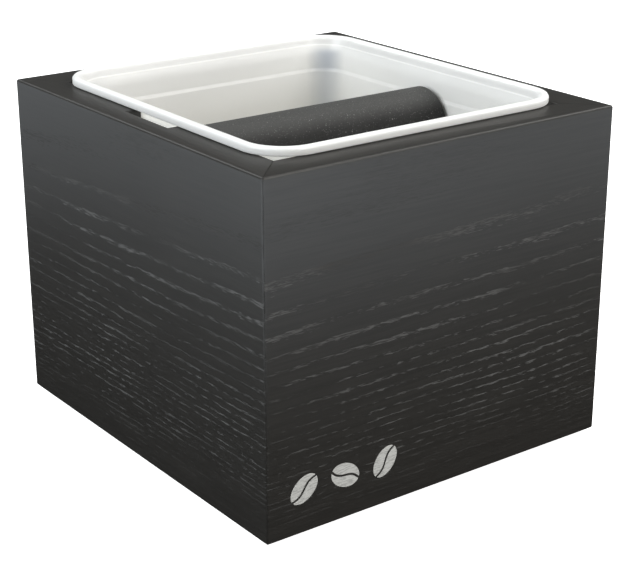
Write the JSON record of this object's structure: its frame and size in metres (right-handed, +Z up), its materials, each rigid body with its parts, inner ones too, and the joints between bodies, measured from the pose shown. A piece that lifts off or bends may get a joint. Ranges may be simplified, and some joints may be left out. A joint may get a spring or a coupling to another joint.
{
  "type": "espresso knock box",
  "caption": "Mitred wooden box holding a lift-out plastic tray with a rubber-sleeved bar across it, for knocking used coffee out of a portafilter.",
  "frame": {"origin": "on the surface the box stands on, under the middle of the box", "axes": "+Z up, +X to the right along the front face, front face towards -Y; the knock bar lies along X"},
  "size_m": [0.19, 0.205, 0.1645],
  "materials": {
    "stained_wood": "black stain, open pores, satin oil",
    "base_plywood": "black stained plywood",
    "biscuit_beech": "raw",
    "tray_plastic": "satin",
    "sleeve_rubber": "matt foam rubber",
    "foot_rubber": "matt",
    "bar_aluminium": "drawn",
    "screw_steel": "zinc plated",
    "plug_nylon": "moulded"
  },
  "bodies": {
    "housing": {"front_board": "stained_wood", "right_board": "stained_wood", "back_board": "stained_wood", "left_board": "stained_wood", "base_panel": "base_plywood", "base_screw_1": "screw_steel", "base_screw_2": "screw_steel", "base_screw_3": "screw_steel", "base_screw_4": "screw_steel", "base_screw_5": "screw_steel", "base_screw_6": "screw_steel", "base_screw_7": "screw_steel", "base_screw_8": "screw_steel", "biscuit_front_left_lower": "biscuit_beech", "biscuit_front_left_upper": "biscuit_beech", "biscuit_front_right_lower": "biscuit_beech", "biscuit_front_right_upper": "biscuit_beech", "biscuit_back_right_lower": "biscuit_beech", "biscuit_back_right_upper": "biscuit_beech", "biscuit_back_left_lower": "biscuit_beech", "biscuit_back_left_upper": "biscuit_beech", "foot_1": "foot_rubber", "foot_2": "foot_rubber", "foot_3": "foot_rubber", "foot_4": "foot_rubber"},
    "tray": {"tray": "tray_plastic", "bar_core": "bar_aluminium", "bar_sleeve": "sleeve_rubber", "bar_plug_left": "plug_nylon", "bar_plug_right": "plug_nylon", "bar_seal_left": "foot_rubber", "bar_seal_right": "foot_rubber", "bar_washer_left": "screw_steel", "bar_washer_right": "screw_steel", "bar_screw_left": "screw_steel", "bar_screw_right": "screw_steel"}
  },
  "joints": [
    {"name": "tray_lift", "type": "slide", "parent": "housing", "child": "tray", "axis": [0, 0, 1], "range_m": [0, 0.155]}
  ]
}
